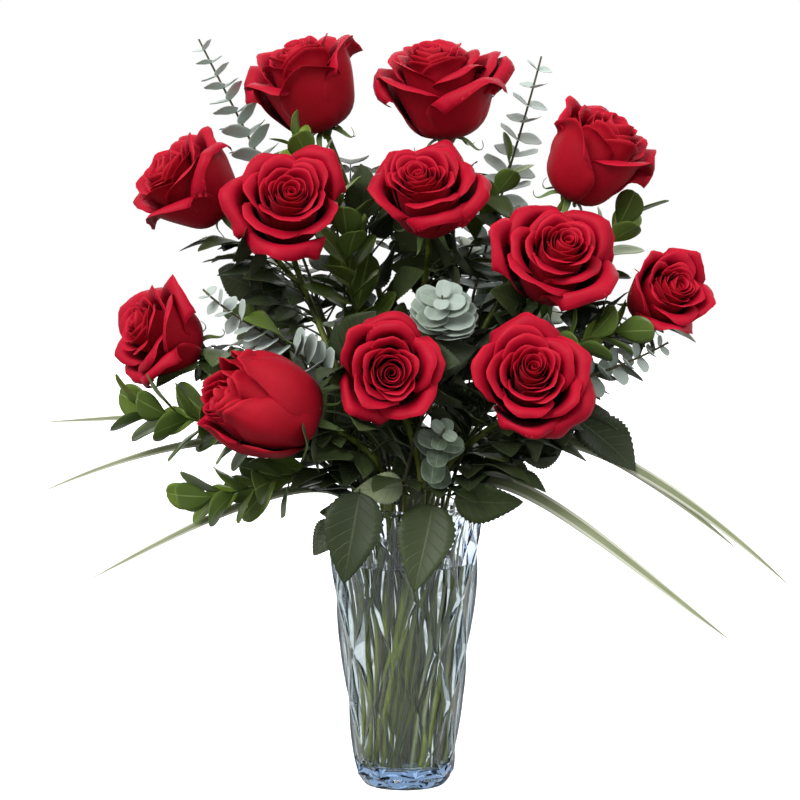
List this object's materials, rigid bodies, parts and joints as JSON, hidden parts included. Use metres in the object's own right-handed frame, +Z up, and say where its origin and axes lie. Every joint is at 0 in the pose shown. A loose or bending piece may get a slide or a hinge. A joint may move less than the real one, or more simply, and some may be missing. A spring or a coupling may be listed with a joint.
{
  "type": "roses in a vase",
  "caption": "Red roses with eucalyptus, myrtle and lily grass in a tall cut-glass vase of water.",
  "frame": {"origin": "centre of the vase's foot, on the surface it stands on", "axes": "+Z up the vase's axis; the bouquet's front faces -Y and +X is to its right as seen from the front"},
  "size_m": [0.6233, 0.3065, 0.6496],
  "materials": {
    "glass": "clear cut glass with a pale blue tint",
    "water": "clear water",
    "petals": "velvety petals",
    "rose_green": "waxy leaf and stem",
    "eucalyptus": "powdery leaf",
    "myrtle": "glossy leaf",
    "grass": "satin blade with pale edges"
  },
  "bodies": {
    "root": {"vase": "glass", "water": "water", "rose_01_bloom": "petals", "rose_01_stem": "rose_green", "rose_02_bloom": "petals", "rose_02_stem": "rose_green", "rose_03_bloom": "petals", "rose_03_stem": "rose_green", "rose_04_bloom": "petals", "rose_04_stem": "rose_green", "rose_05_bloom": "petals", "rose_05_stem": "rose_green", "rose_06_bloom": "petals", "rose_06_stem": "rose_green", "rose_07_bloom": "petals", "rose_07_stem": "rose_green", "rose_08_bloom": "petals", "rose_08_stem": "rose_green", "rose_09_bloom": "petals", "rose_09_stem": "rose_green", "rose_10_bloom": "petals", "rose_10_stem": "rose_green", "rose_11_bloom": "petals", "rose_11_stem": "rose_green", "rose_12_bloom": "petals", "rose_12_stem": "rose_green", "eucalyptus_1": "eucalyptus", "eucalyptus_2": "eucalyptus", "eucalyptus_3": "eucalyptus", "eucalyptus_4": "eucalyptus", "eucalyptus_5": "eucalyptus", "eucalyptus_6": "eucalyptus", "eucalyptus_7": "eucalyptus", "myrtle_1": "myrtle", "myrtle_2": "myrtle", "myrtle_3": "myrtle", "myrtle_4": "myrtle", "myrtle_5": "myrtle", "myrtle_6": "myrtle", "myrtle_7": "myrtle", "myrtle_8": "myrtle", "myrtle_9": "myrtle", "lily_grass_1": "grass", "lily_grass_2": "grass"}
  },
  "joints": []
}
